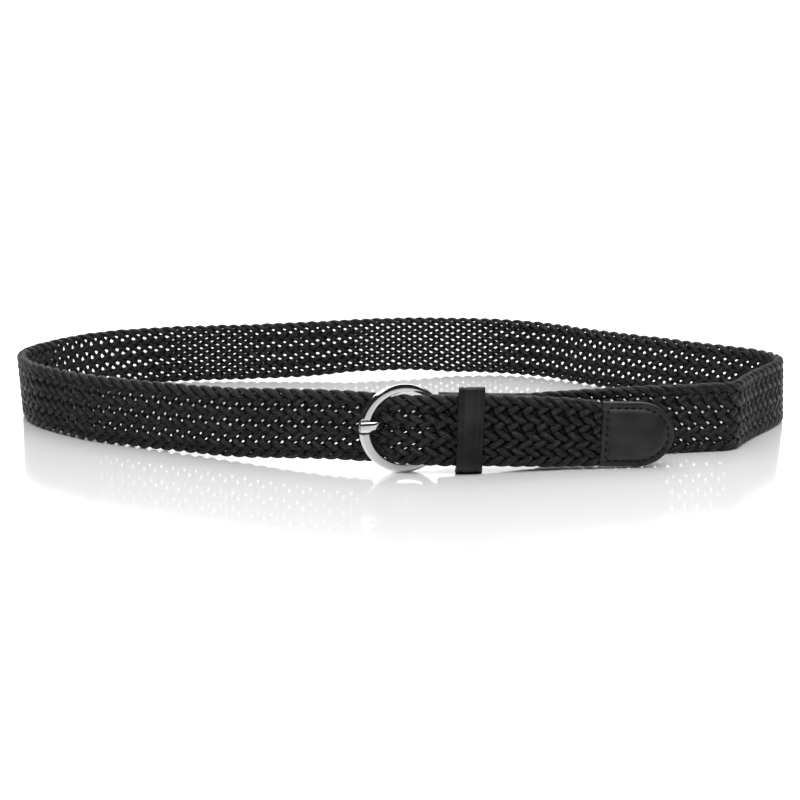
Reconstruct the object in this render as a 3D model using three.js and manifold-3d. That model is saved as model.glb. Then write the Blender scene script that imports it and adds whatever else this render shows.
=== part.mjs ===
// A braided belt, buckled into an oval loop and standing on its lower edge. Millimetres, +Z up.
// The buckle is at the front, towards -Y, and the strap's free end points to the right, +X.
// The belt is worked out from a point on the floor under the middle of the buckle, then moved
// so that its origin is under the middle of its outer box.
import * as THREE from 'three';
import { mergeVertices } from 'three/addons/utils/BufferGeometryUtils.js';
import Module from 'manifold-3d';

const wasm = await Module();
wasm.setup();

// Driving dimensions

const BOX_MIDDLE = { x: -2.8, y: 106.9 }; // middle of the outer box, from the route's origin
const GAP = 0.3; // between pieces that touch
const LEATHER = 1.2; // ply of the tab and the tip

const BRAID = { thickness: 4.2, cornerRadius: 1.5 };

// The route of the strap's centre line, from the bar of the buckle along the inner layer, round
// the right end, the back and the left end, then through the buckle to the tip.
// x and y are measured from a point under the middle of the buckle. lift is the height of the
// lower edge, lean the outward lean of the upper edge in degrees, and width the height of the
// braid there.
const ROUTE = [
  // x, y, lift, lean, width
  [15, 2.65, 4.0, 0, 30.8], // sewn end, in the leather tab
  [30, 4.3, 3.2, 0, 31.1],
  [44, 6.3, 2.3, 0, 31.6],
  [58, 10.5, 1.3, 0, 32.2],
  [72, 17.3, 0.5, 0, 32.5], // the two layers part
  [88, 24.1, 0, 0, 32.5],
  [104, 28.5, 0, 0, 32.5],
  [122, 32.3, 0, 0, 32.5],
  [140, 35.9, 0, 0, 32.5],
  [150, 38, 0, 0, 32.5],
  [154.2, 41.3, 0, 0, 32.5], // crease
  [158, 47.6, 0, 0, 32.5],
  [166.4, 60.8, 0, -2, 32.5],
  [176, 74, 0, -3, 32.5],
  [184.2, 85.6, 0, -4, 32.5],
  [189.5, 95.5, 0, -3, 32.5],
  [191.8, 106.5, 0, -3, 32.5], // right end
  [188.5, 117.5, 0, -2, 32.5],
  [180, 127, 0, 0, 32.5],
  [166, 138, 0, 0, 32.5],
  [146, 155, 0, 0, 32.5],
  [124, 172, 0, 0, 32.5],
  [104, 189, 0, 0, 32.5],
  [84, 206.5, 0.3, 0, 32.5],
  [60, 217, 0.4, 0, 32.9], // back
  [32, 219, 1.0, 0, 32.9],
  [2, 216.5, 2.9, 0, 31.5],
  [-28, 210, 3.0, 0, 31.4],
  [-58, 203, 1.4, 0, 32.5],
  [-88, 200, 0.6, 0, 32.5],
  [-118, 197.5, 0.2, 0, 32.5],
  [-144, 191.5, 0, 0, 32.5],
  [-167, 177.5, 0, 2, 32.5],
  [-183.9, 157.3, 0, 2, 32.5],
  [-193.8, 134.7, 0, 2.6, 32.5],
  [-196, 119, 0, 2.6, 32.5], // left end
  [-192.2, 104.1, 0, 2.6, 32.5],
  [-183.4, 87.6, 0, 2, 32.5],
  [-169, 72.3, 0, 1, 32.5],
  [-150, 57, 0, 0, 32.5],
  [-126, 44.1, 0.1, 0, 32.5],
  [-102, 32.7, 0.4, 0, 32.5],
  [-78, 22, 0.9, 0, 32.5],
  [-54, 13.6, 2.5, 0, 32.3],
  [-32, 7, 3.7, 0, 31.9],
  [-14, 1.9, 4.0, 0, 31.6], // behind the rim of the buckle
  [1, -2.9, 3.9, 0, 31.5],
  [14, -3.9, 3.8, 0, 31.8], // over the bar
  [32, -2.3, 3.2, 0, 32.2], // through the keeper
  [48, 0.1, 2.2, 0, 32.3],
  [64, 2.9, 1.4, 0, 31.8],
  [76, 4.7, 1.2, 0, 30.8],
  [86.3, 5.7, 0.8, 0, 29.8], // mouth of the leather tip
  [104.2, 7.4, 0.8, 0, 29.8],
];
const STEPS_PER_ROW = 3;
const MOUTH_ROW = ROUTE.length - 2;
const TAB_END_ROW = 2.75; // the tab's plies end between two rows

// Narrow end of the strap, inside the leather tip.
const TONGUE = {
  width: 20.6,
  thickness: 3.2,
  rows: [MOUTH_ROW - 0.1, MOUTH_ROW + 0.5, ROUTE.length - 1],
};

const BUCKLE = {
  x: -0.4, // of its middle, from the route's origin
  yaw: 10, // degrees, its right side turned away from the front
  outerRadius: 19.75,
  innerRadius: 16.1,
  innerShift: 1, // the opening's middle lies this far towards the bar
  thickness: 2.6,
  bevel: 0.5,
  barX: 13.5,
  barRadius: 1.3,
  segments: 60,
};

const PRONG = {
  // centre line from the bar, behind the strap, up through it and over the rim
  path: [[BUCKLE.barX, 0], [-6.3, 3.8], [-13.6, -2.7], [-19.6, -2.7]],
  rise: 1.6, // it lies this far above the middle of the buckle
  thickness: 2.2,
  height: 4.4,
  eyeWall: 1.1,
};

const TAB = {
  width: 30.4,
  foldWidth: 21, // narrower where it passes between the arms of the buckle
  foldRadius: 2.5, // to the middle of the ply
  slotHeight: 5, // for the eye of the prong
  slotReach: 4,
  shoulderRow: 0.02,
  stepsPerRow: 4,
};

const KEEPER = {
  x: 28.9, // of its middle, from the route's origin
  y: 1.5,
  yaw: 6.3,
  width: 11.6,
  depth: 16.2,
  height: 39.3,
  wall: 1.4,
  cornerRadius: 2,
  toeRadius: 5.5, // of the lower front corner
  topFall: 0.2, // its top falls towards the back
  slant: 0.027, // sideways lean of its front
  skew: 0.16, // sideways run of its top, from front to back
};

const TIP = {
  length: 32.9,
  width: 29.2,
  flat: 16.5, // straight part of the upper and lower sides
  middle: 15.7, // height of its middle
  roll: 1.8, // degrees, its end dips
  arcSegments: 20,
};
// How the pillow of the tip rises from its sewn edge to its middle.
const TIP_PROFILE = [
  // inset, half thickness
  { inset: 0, half: 0.8 },
  { inset: 0.5, half: 1.25 },
  { inset: 2.6, half: 1.45 },
  { inset: 4.6, half: 2.7 },
  { inset: 8, half: 3.15 },
];

// Materials

const braidMaterial = () => new THREE.MeshStandardMaterial({
  color: 0x1b1b1d, roughness: 0.55, metalness: 0, flatShading: true,
});
const leatherMaterial = () => new THREE.MeshStandardMaterial({
  color: 0x212122, roughness: 0.5, metalness: 0, flatShading: true,
});
const steelMaterial = () => new THREE.MeshStandardMaterial({
  color: 0xd8d8d5, roughness: 0.12, metalness: 1, flatShading: true,
});

// Solids: a closed geometry made ready for joining and cutting, and back

function solid(geometry) {
  const bare = geometry.clone();
  bare.deleteAttribute('normal');
  bare.deleteAttribute('uv');
  const merged = mergeVertices(bare, 1e-4);
  return new wasm.Manifold(new wasm.Mesh({
    numProp: 3,
    vertProperties: new Float32Array(merged.attributes.position.array),
    triVerts: new Uint32Array(merged.index.array),
  }));
}

function geometryOf(manifold) {
  const { numProp, vertProperties, triVerts } = manifold.getMesh();
  const geometry = new THREE.BufferGeometry();
  const positions = new Float32Array((vertProperties.length / numProp) * 3);
  for (let i = 0; i < positions.length / 3; i += 1) {
    positions.set(vertProperties.subarray(i * numProp, i * numProp + 3), i * 3);
  }
  geometry.setAttribute('position', new THREE.BufferAttribute(positions, 3));
  geometry.setIndex(new THREE.BufferAttribute(new Uint32Array(triVerts), 1));
  geometry.computeVertexNormals();
  return geometry;
}

// The route as a smooth curve. The other columns change evenly from one row to the next.

const routeCurve = new THREE.CatmullRomCurve3(
  ROUTE.map(([x, y]) => new THREE.Vector3(x, y, 0)), false, 'centripetal',
);

function routeAt(row) {
  const t = row / (ROUTE.length - 1);
  const point = routeCurve.getPoint(t);
  const along = routeCurve.getTangent(t);
  const first = Math.min(Math.floor(row), ROUTE.length - 2);
  const column = (k) => THREE.MathUtils.lerp(ROUTE[first][k], ROUTE[first + 1][k], row - first);
  return {
    x: point.x,
    y: point.y,
    outX: along.y, // outwards is to the right of the way the route runs
    outY: -along.x,
    lift: column(2),
    lean: THREE.MathUtils.degToRad(column(3)),
    width: column(4),
  };
}

// A band that stands on edge: a rounded section carried from station to station. Each station
// has x, y, outX, outY, lift, lean and width.
function bandGeometry(stations, thickness, cornerRadius) {
  const half = thickness / 2;
  const section = (width) => {
    const corners = [
      [half - cornerRadius, cornerRadius, -90],
      [half - cornerRadius, width - cornerRadius, 0],
      [cornerRadius - half, width - cornerRadius, 90],
      [cornerRadius - half, cornerRadius, 180],
    ];
    return corners.flatMap(([across, up, from]) => [0, 45, 90].map((turn) => {
      const angle = THREE.MathUtils.degToRad(from + turn);
      return [across + cornerRadius * Math.cos(angle), up + cornerRadius * Math.sin(angle)];
    }));
  };
  const positions = [];
  for (const { x, y, outX, outY, lift, lean, width } of stations) {
    const floor = lift + half * Math.abs(Math.sin(lean));
    for (const [across, up] of section(width)) {
      const out = across * Math.cos(lean) + up * Math.sin(lean);
      const z = floor + up * Math.cos(lean) - across * Math.sin(lean);
      positions.push(x + outX * out, y + outY * out, z);
    }
  }
  return closedTube(positions, section(1).length);
}

// Joins rings of points into one closed surface. The rings run the same way round, so that
// they turn left about the way they follow each other.
function closedTube(positions, ringLength) {
  const rings = positions.length / 3 / ringLength;
  const index = [];
  for (let ring = 0; ring < rings - 1; ring += 1) {
    for (let i = 0; i < ringLength; i += 1) {
      const a = ring * ringLength + i;
      const b = ring * ringLength + ((i + 1) % ringLength);
      index.push(a, a + ringLength, b, b, a + ringLength, b + ringLength);
    }
  }
  const last = (rings - 1) * ringLength;
  for (let i = 1; i < ringLength - 1; i += 1) {
    index.push(0, i, i + 1);
    index.push(last, last + i + 1, last + i);
  }
  const geometry = new THREE.BufferGeometry();
  geometry.setAttribute('position', new THREE.Float32BufferAttribute(positions, 3));
  geometry.setIndex(index);
  geometry.computeVertexNormals();
  return geometry;
}

// Where the buckle stands: its rim on the floor, its middle near the route's own origin.
function placeBuckle(object) {
  object.position.set(BUCKLE.x, 0, BUCKLE.outerRadius);
  object.rotation.z = THREE.MathUtils.degToRad(BUCKLE.yaw);
  object.updateMatrix();
  return object;
}

const buckleMatrix = placeBuckle(new THREE.Object3D()).matrix;
const barPlace = new THREE.Vector3(BUCKLE.barX, 0, 0).applyMatrix4(buckleMatrix);

// The frame of the buckle: a ring whose opening lies towards the bar, cut straight there and
// closed by the round bar. spare makes it larger all round, to press its shape into the strap.
function frameSolid(spare = 0) {
  const { outerRadius, innerRadius, innerShift, thickness, bevel, barX, barRadius, segments } = BUCKLE;
  const ring = new THREE.Shape().absarc(0, 0, outerRadius + spare, 0, 2 * Math.PI);
  const holeRadius = innerRadius - spare;
  const corner = Math.acos((barX + bevel - innerShift) / holeRadius);
  ring.holes.push(new THREE.Path().absarc(innerShift, 0, holeRadius, corner, 2 * Math.PI - corner));
  const plate = new THREE.ExtrudeGeometry(ring, {
    depth: thickness - 2 * bevel + 2 * spare,
    bevelThickness: bevel,
    bevelSize: bevel,
    bevelOffset: -bevel,
    bevelSegments: 2,
    curveSegments: segments,
  });
  plate.translate(0, 0, bevel - thickness / 2 - spare);
  plate.rotateX(Math.PI / 2);
  const beyondBar = new THREE.BoxGeometry(outerRadius, 4 * thickness, 3 * outerRadius);
  beyondBar.translate(barX + outerRadius / 2, 0, 0);
  const halfBar = Math.sqrt(outerRadius ** 2 - barX ** 2) - bevel;
  const bar = new THREE.CylinderGeometry(barRadius + spare, barRadius + spare, 2 * halfBar, 24);
  bar.rotateX(Math.PI / 2);
  bar.translate(barX, 0, 0);
  return solid(plate).subtract(solid(beyondBar)).add(solid(bar));
}

// A flat strip that follows a line of points in the XY plane, with its middle at z = 0.
function stripGeometry(points, width, height) {
  const line = points.map(([x, y]) => new THREE.Vector2(x, y));
  const sides = line.map((point, i) => {
    const before = (i > 0 ? point.clone().sub(line[i - 1]) : line[1].clone().sub(point)).normalize();
    const after = (i < line.length - 1 ? line[i + 1].clone().sub(point) : before.clone()).normalize();
    const mean = before.clone().add(after).normalize();
    const reach = width / 2 / mean.dot(before);
    return new THREE.Vector2(-mean.y, mean.x).multiplyScalar(reach);
  });
  const left = line.map((point, i) => point.clone().add(sides[i]));
  const right = line.map((point, i) => point.clone().sub(sides[i])).reverse();
  const strip = new THREE.ExtrudeGeometry(new THREE.Shape([...left, ...right]), {
    depth: height, bevelEnabled: false,
  });
  strip.translate(0, 0, -height / 2);
  return strip;
}

// The prong: a bent tongue with an eye round the bar.
function prongSolid(spare = 0) {
  const { path, rise, thickness, height, eyeWall } = PRONG;
  const bore = BUCKLE.barRadius + GAP;
  const drum = (radius, tall) => new THREE.CylinderGeometry(radius, radius, tall, 28)
    .rotateX(Math.PI / 2)
    .translate(BUCKLE.barX, 0, 0);
  const arm = solid(stripGeometry(path, thickness + 2 * spare, height + 2 * spare));
  const eye = solid(drum(bore + eyeWall + spare, height + 2 * spare));
  return arm.add(eye).subtract(solid(drum(bore, 2 * height))).translate([0, 0, rise]);
}

// The strap: one band of braid, with a narrow tongue for the tip, parted by the prong and
// pressed in where the rim of the buckle crosses its edges.
function strapGeometry() {
  const stations = [];
  for (let step = 0; step <= MOUTH_ROW * STEPS_PER_ROW + 1; step += 1) {
    stations.push(routeAt(step / STEPS_PER_ROW));
  }
  const tongue = TONGUE.rows.map((row) => tongueStation(row));
  const press = (part) => solid(geometryOf(part).applyMatrix4(buckleMatrix));
  const beyondMouth = new THREE.BoxGeometry(TIP.length, TIP.length, 2 * TIP.width);
  beyondMouth.translate(TIP.length / 2 - GAP, 0, 0);
  beyondMouth.applyMatrix4(placeTip(new THREE.Object3D()).matrix);
  const band = solid(bandGeometry(stations, BRAID.thickness, BRAID.cornerRadius))
    .subtract(solid(beyondMouth))
    .add(solid(bandGeometry(tongue, TONGUE.thickness, BRAID.cornerRadius)));
  return geometryOf(band.subtract(press(frameSolid(GAP))).subtract(press(prongSolid(GAP))));
}

function tongueStation(row, spare = 0) {
  const place = routeAt(row);
  const width = TONGUE.width + 2 * spare;
  return { ...place, width, lift: place.lift + (place.width - width) / 2 };
}

// The leather tab: one ply on each side of the strap's sewn end, folded round the bar, with a
// slot at the fold for the eye of the prong.
function tabGeometry() {
  const { width, foldWidth, foldRadius, slotHeight, slotReach, shoulderRow, stepsPerRow } = TAB;
  const start = routeAt(0);
  const offset = BRAID.thickness / 2 + GAP + LEATHER / 2;
  const standing = (place, side, tall) => ({
    x: place.x + side * place.outX * offset,
    y: place.y + side * place.outY * offset,
    outX: side * place.outX,
    outY: side * place.outY,
    lift: place.lift + (place.width - tall) / 2,
    lean: 0,
    width: tall,
  });
  const rows = [0, shoulderRow / 2, shoulderRow];
  for (let row = shoulderRow + 1 / stepsPerRow; row < TAB_END_ROW; row += 1 / stepsPerRow) {
    rows.push(row);
  }
  rows.push(TAB_END_ROW);
  const tallAt = (row) => (row < shoulderRow ? foldWidth : width);
  const ply = (side) => rows.map((row) => standing(routeAt(row), side, tallAt(row)));
  const fold = [];
  for (let turn = 0; turn <= 8; turn += 1) {
    const angle = Math.PI * (turn / 8);
    const outX = -start.outX * Math.cos(angle) + start.outY * Math.sin(angle);
    const outY = -start.outY * Math.cos(angle) - start.outX * Math.sin(angle);
    fold.push({
      ...start,
      x: barPlace.x + outX * foldRadius,
      y: barPlace.y + outY * foldRadius,
      outX,
      outY,
      lift: start.lift + (start.width - foldWidth) / 2,
      width: foldWidth,
    });
  }
  const stations = [...ply(-1).reverse(), ...fold, ...ply(1)];
  const slot = new THREE.BoxGeometry(2 * slotReach, 4 * slotReach, slotHeight);
  slot.translate(0, 0, PRONG.rise);
  slot.applyMatrix4(buckleMatrix);
  slot.translate(barPlace.x, barPlace.y, 0);
  return geometryOf(solid(bandGeometry(stations, LEATHER, LEATHER / 3)).subtract(solid(slot)));
}

// The keeper's outline seen along the strap, front to the left, at one inset from its outside.
function keeperOutline(Kind, inset) {
  const { depth, height, cornerRadius, toeRadius, topFall } = KEEPER;
  const corner = (side, end, radius, from) => {
    const x = side * (depth / 2 - radius);
    const y = end * (height / 2 - radius);
    return new THREE.Path().absarc(x, y, radius - inset, from * Math.PI, (from + 0.5) * Math.PI)
      .getPoints(6);
  };
  const lowered = ({ x, y }) => new THREE.Vector2(x, y - topFall * (x + depth / 2));
  return new Kind([
    ...corner(1, 1, cornerRadius, 0).map(lowered),
    ...corner(-1, 1, cornerRadius, 0.5).map(lowered),
    ...corner(-1, -1, toeRadius, 1),
    ...corner(1, -1, cornerRadius, 1.5),
  ]);
}

// The keeper: a leather loop round both layers of the strap, leaning a little sideways.
function keeperGeometry() {
  const { width, wall, slant, skew } = KEEPER;
  const loop = keeperOutline(THREE.Shape, 0);
  loop.holes.push(keeperOutline(THREE.Path, wall));
  const geometry = new THREE.ExtrudeGeometry(loop, { depth: width, bevelEnabled: false });
  geometry.translate(0, 0, -width / 2);
  const upright = new THREE.Matrix4().makeBasis(
    new THREE.Vector3(skew, 1, 0), new THREE.Vector3(slant, 0, 1), new THREE.Vector3(1, 0, 0),
  );
  geometry.applyMatrix4(upright);
  return geometryOf(solid(geometry));
}

// The outline of the tip at one inset from its edge: straight at the mouth, round at the end.
function tipOutline(inset) {
  const { length, width, flat, arcSegments } = TIP;
  const points = [[0, width / 2 - inset], [0, inset - width / 2]];
  for (let i = 0; i <= arcSegments; i += 1) {
    const angle = Math.PI * (i / arcSegments - 0.5);
    points.push([
      flat + (length - flat - inset) * Math.cos(angle),
      (width / 2 - inset) * Math.sin(angle),
    ]);
  }
  return points;
}

// The leather tip: a flat pillow with a sewn edge, and a pocket for the strap's tongue.
function tipGeometry(matrix) {
  const front = TIP_PROFILE.map(({ inset, half }) => ({ inset, across: -half })).reverse();
  const back = TIP_PROFILE.map(({ inset, half }) => ({ inset, across: half }));
  const positions = [...front, ...back].flatMap(
    ({ inset, across }) => tipOutline(inset).flatMap(([along, up]) => [along, across, up]),
  );
  const pillow = solid(closedTube(positions, tipOutline(0).length));
  const stations = TONGUE.rows.map((row) => tongueStation(row, GAP));
  const end = stations[stations.length - 1];
  end.x += -end.outY * GAP;
  end.y += end.outX * GAP;
  const pocket = bandGeometry(stations, TONGUE.thickness + 2 * GAP, BRAID.cornerRadius);
  pocket.applyMatrix4(matrix.clone().invert());
  return geometryOf(pillow.subtract(solid(pocket)));
}

function placeTip(object) {
  const mouth = routeAt(MOUTH_ROW);
  object.position.set(mouth.x - mouth.outY * GAP, mouth.y + mouth.outX * GAP, TIP.middle);
  object.rotation.order = 'ZYX';
  object.rotation.z = Math.atan2(mouth.outX, -mouth.outY);
  object.rotation.y = THREE.MathUtils.degToRad(TIP.roll);
  object.updateMatrix();
  return object;
}

function named(name, geometry, material) {
  const mesh = new THREE.Mesh(geometry, material);
  mesh.name = name;
  return mesh;
}

// Assembly

const buckle = placeBuckle(new THREE.Group());
buckle.add(named('buckle_frame', geometryOf(frameSolid()), steelMaterial()));
buckle.add(named('prong', geometryOf(prongSolid()), steelMaterial()));

const keeper = named('keeper', keeperGeometry(), leatherMaterial());
keeper.position.set(KEEPER.x, KEEPER.y, KEEPER.height / 2);
keeper.rotation.z = THREE.MathUtils.degToRad(KEEPER.yaw);

const tip = named('strap_tip', tipGeometry(placeTip(new THREE.Object3D()).matrix), leatherMaterial());
placeTip(tip);

const belt = new THREE.Group();
belt.add(named('strap', strapGeometry(), braidMaterial()));
belt.add(named('buckle_tab', tabGeometry(), leatherMaterial()));
belt.add(buckle);
belt.add(keeper);
belt.add(tip);
belt.position.set(-BOX_MIDDLE.x, -BOX_MIDDLE.y, 0);

export default belt;
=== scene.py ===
"""The looks of a braided belt, buckled into a loop that stands on its lower edge.

Lengths are millimetres, in the same frame as the part: x to the right, y away from the viewer,
z up from the floor. They turn into metres where a mesh is made.
"""

import math

import bpy
import numpy as np
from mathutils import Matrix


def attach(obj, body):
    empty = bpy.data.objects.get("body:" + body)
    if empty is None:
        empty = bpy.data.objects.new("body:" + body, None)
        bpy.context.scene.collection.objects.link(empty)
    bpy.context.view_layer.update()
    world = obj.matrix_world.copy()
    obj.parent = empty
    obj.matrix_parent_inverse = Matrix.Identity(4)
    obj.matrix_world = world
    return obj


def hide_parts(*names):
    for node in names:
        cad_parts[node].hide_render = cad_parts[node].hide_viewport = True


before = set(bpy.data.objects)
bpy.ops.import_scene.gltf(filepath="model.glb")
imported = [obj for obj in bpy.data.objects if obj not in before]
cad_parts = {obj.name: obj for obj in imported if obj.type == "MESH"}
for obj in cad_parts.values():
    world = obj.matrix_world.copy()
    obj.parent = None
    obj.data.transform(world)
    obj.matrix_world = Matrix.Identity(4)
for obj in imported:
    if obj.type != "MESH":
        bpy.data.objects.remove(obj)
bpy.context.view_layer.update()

MM = 0.001
ORIGIN = np.array([2.8, -106.9])  # of the strap's route, in the part's frame
LEATHER = 1.2

# The strap's centre line, from its sewn end in the tab along the inner layer, round the right
# end, the back and the left end, then through the buckle to the tip, as the part has it.
ROUTE = np.array([
    # x, y, lift, lean, width
    [15, 2.65, 4.0, 0, 30.8],
    [30, 4.3, 3.2, 0, 31.1],
    [44, 6.3, 2.3, 0, 31.6],
    [58, 10.5, 1.3, 0, 32.2],
    [72, 17.3, 0.5, 0, 32.5],
    [88, 24.1, 0, 0, 32.5],
    [104, 28.5, 0, 0, 32.5],
    [122, 32.3, 0, 0, 32.5],
    [140, 35.9, 0, 0, 32.5],
    [150, 38, 0, 0, 32.5],
    [154.2, 41.3, 0, 0, 32.5],
    [158, 47.6, 0, 0, 32.5],
    [166.4, 60.8, 0, -2, 32.5],
    [176, 74, 0, -3, 32.5],
    [184.2, 85.6, 0, -4, 32.5],
    [189.5, 95.5, 0, -3, 32.5],
    [191.8, 106.5, 0, -3, 32.5],
    [188.5, 117.5, 0, -2, 32.5],
    [180, 127, 0, 0, 32.5],
    [166, 138, 0, 0, 32.5],
    [146, 155, 0, 0, 32.5],
    [124, 172, 0, 0, 32.5],
    [104, 189, 0, 0, 32.5],
    [84, 206.5, 0.3, 0, 32.5],
    [60, 217, 0.4, 0, 32.9],
    [32, 219, 1.0, 0, 32.9],
    [2, 216.5, 2.9, 0, 31.5],
    [-28, 210, 3.0, 0, 31.4],
    [-58, 203, 1.4, 0, 32.5],
    [-88, 200, 0.6, 0, 32.5],
    [-118, 197.5, 0.2, 0, 32.5],
    [-144, 191.5, 0, 0, 32.5],
    [-167, 177.5, 0, 2, 32.5],
    [-183.9, 157.3, 0, 2, 32.5],
    [-193.8, 134.7, 0, 2.6, 32.5],
    [-196, 119, 0, 2.6, 32.5],
    [-192.2, 104.1, 0, 2.6, 32.5],
    [-183.4, 87.6, 0, 2, 32.5],
    [-169, 72.3, 0, 1, 32.5],
    [-150, 57, 0, 0, 32.5],
    [-126, 44.1, 0.1, 0, 32.5],
    [-102, 32.7, 0.4, 0, 32.5],
    [-78, 22, 0.9, 0, 32.5],
    [-54, 13.6, 2.5, 0, 32.3],
    [-32, 7, 3.7, 0, 31.9],
    [-14, 1.9, 4.0, 0, 31.6],
    [1, -2.9, 3.9, 0, 31.5],
    [14, -3.9, 3.8, 0, 31.8],
    [32, -2.3, 3.2, 0, 32.2],
    [48, 0.1, 2.2, 0, 32.3],
    [64, 2.9, 1.4, 0, 31.8],
    [76, 4.7, 1.2, 0, 30.8],
    [86.3, 5.7, 0.8, 0, 29.8],
    [104.2, 7.4, 0.8, 0, 29.8],
], float)
MOUTH_ROW = len(ROUTE) - 2
PRONG_ROW = 45.35  # where the prong comes up through the braid
STRAP_WIDTH = 32.5
HALF_STRAP = 2.1  # half the strap's thickness
TAB_END_ROW = 2.75

# The braid: flat cords that run over two and under two, and turn back at both edges.
STRANDS = 17
ROWS = 16  # crossings from edge to edge
PITCH = 6.4  # along the strap, from one cord to the next that runs the same way
SECTIONS_PER_CROSSING = 4
POINTS_ROUND = 12
CORD_WIDTH = 3.5
CORD_THICKNESS = 2.35
CORD_NOISE = {
    # samples between its new values, size
    "width": (9, 0.03),
    "wave": (7, 0.05),
    "depth": (11, 0.08),
}
FIBRES = {
    "twist": 0.12,  # radians for each millimetre along the cord
    "along": 0.22,  # of the streaks' pattern, for each millimetre
    "between": 31.7,  # of the pattern, from one cord to the next
    "round": 1.4,  # radius of the pattern round the cord
}
WAVE_HEIGHT = 1.3
EDGE_INSET = 1.15  # of the cord's middle where it turns
EDGE_BEND = 0.55  # rows over which the turn bends
FOLD_REACH = 1.2  # crossings before and after a turn over which the cord folds over
BRAID_IN_TIP = 2.6  # how far the cords run into the tip
PRESSED = {
    # start and full are places along the strap, from the mouth of the tip
    "start": -3.5,
    "full": 0.5,
    "thinner": 0.5,  # share of the cord's thickness and of its wave
    "narrower": 0.03,  # share of the strap's width
}
HALF_ROWS = (ROWS + 1) / 2
ROW_HEIGHT = (STRAP_WIDTH / 2 - EDGE_INSET) / (math.hypot(HALF_ROWS, EDGE_BEND) - EDGE_BEND)
# How open the braid is along the strap. Bunching, in rows, draws the cords together between the
# rows of large holes: three rows of them where it is above 0, and four where it is below. At 0
# the cords are even, with small holes in every row.
OPENNESS = np.array([
    # route row, share of the full cord width, bunching
    [0, 1.0, -0.1],
    [3, 0.98, -0.16],
    [4.3, 0.97, -0.24],
    [8.6, 0.97, -0.23],
    [9.8, 1.03, -0.1],
    [14, 1.02, 0.04],
    [17, 0.97, 0.14],
    [19, 0.93, 0.2],
    [19.6, 0.91, 0.1],
    [20.3, 0.9, 0.2],
    [21.5, 0.88, 0.2],
    [23, 0.83, 0.12],
    [24.2, 0.77, 0.04],
    [25, 0.71, 0.0],
    [26.7, 0.71, 0.0],
    [27.3, 0.81, -0.14],
    [28, 0.8, -0.08],
    [28.6, 0.82, -0.16],
    [29.3, 0.77, -0.03],
    [30, 0.77, -0.02],
    [30.7, 0.8, -0.11],
    [32, 0.83, -0.2],
    [33.5, 0.88, -0.2],
    [35, 0.98, -0.12],
    [36.8, 1.02, 0.0],
    [37.7, 0.98, 0.12],
    [38.1, 0.81, 0.2],
    [38.5, 0.83, 0.2],
    [38.8, 1.05, 0.1],
    [39.2, 1.0, 0.14],
    [40.5, 0.97, 0.2],
    [44.4, 0.98, 0.18],
    [45.4, 1.04, 0.14],
    [46, 0.95, 0.19],
    [47.3, 0.97, 0.16],
    [48.3, 0.95, 0.03],
    [53, 0.92, 0.0],
])

BUCKLE = {
    "x": -0.4,
    "yaw": math.radians(10),
    "outer": 19.75,
    "inner": 16.1,
    "shift": 1.0,
    "thickness": 2.6,
    "seat_depth": 0.42,  # of the hollow that the prong lies in
    "seat_slope": 1.5,  # how far its sides run past the prong
    "bar_x": 13.5,
    "bar_radius": 1.3,
    "strap_inset": 1.5,  # of the cords' middles, from the edge of the opening
    "strap_reach": 2.5,  # over which that fades, in front of the ring and behind it
}
PRONG_PATH = [(13.5, 0), (-6.3, 3.8), (-13.6, -2.7), (-19.6, -2.7)]
PRONG = {
    "rise": 1.6,
    "thickness": 2.2,
    "height": 4.4,
    "bore": 1.6,
    "eye_wall": 1.1,
    "slant": 0.44,  # how far its bend leans, for each millimetre up
    "room": 2.1,  # of the cords' middles, from the prong's middle line
    "room_above": 1.35,  # and past its upper and lower edges
}

TAB = {
    "width": 30.4,
    "fold_width": 21,
    "fold_radius": 2.5,
    "slot_height": 5,
    "shoulder_row": 0.02,
    "gap": 0.3,  # between the strap and each ply
}

KEEPER = {
    "x": 28.9,
    "y": 1.5,
    "yaw": math.radians(6.3),
    "width": 11.6,
    "depth": 16.2,
    "height": 39.3,
    "wall": 1.4,
    "corner": 2,
    "toe": 5.5,
    "top_fall": 0.2,
    "slant": 0.027,
    "skew": 0.16,
}

# Painted sheen: lighter vertical streaks high on the keeper's front, painted into its colour where
# highlights fall.
KEEPER_PAINTED_SHEEN = [
    # from the left edge, strength
    (3.3, 0.4),
    (8.9, 0.25),
]
KEEPER_SHEEN_WIDTH = 0.5
KEEPER_TONE = -0.3  # darker than the tip
KEEPER_EDGE = [
    # in from the edge, depth below the outer face: a rounded edge, then a pressed line
    (0.0, 0.55), (0.06, 0.3), (0.2, 0.12), (0.42, 0.03), (0.8, 0.0), (1.7, 0.0), (2.15, 0.05),
    (2.4, 0.2), (2.6, 0.26), (2.8, 0.2), (3.05, 0.04), (3.6, 0.0),
]
KEEPER_WOBBLE = (3, 0.06)  # of each edge: points between its new values, size
KEEPER_RAGGED = 0.5  # the most that points of the outer face are raised at the top
KEEPER_FLARE = 0.6  # of the left edge, low in front

TIP = {
    "length": 32.9,
    "width": 29.2,
    "flat": 16.5,
    "middle": 15.7,
    "roll": math.radians(1.8),
    "gap": 0.3,
}

CAMERA_PLACE = (0.8, -701.4, 163)
CAMERA_PITCH = math.radians(12.4)
CAMERA_LENS = 63
CAMERA_SENSOR = 36

# Brightness of the studio round the belt: low in front, low behind, and overhead
FRONT_SKY = 0.025
BACK_SKY = 2.0
TOP_SKY = 2.06
# Where the sky grows brighter, as the y and the z of the way to it
BACK_SKY_RISE = (0.5, 0.85)
TOP_SKY_RISE = (0.6, 0.82)
SOFTBOX = {
    "place": (150, -450, 1000),
    "target": (0, -60, 0),
    "width": 900,
    "height": 700,
    "watts": 4.5,
}
FLOOR_REACH = 20000
FLOOR_CELLS = 4

rng = np.random.default_rng(17)


# Meshes

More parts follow.
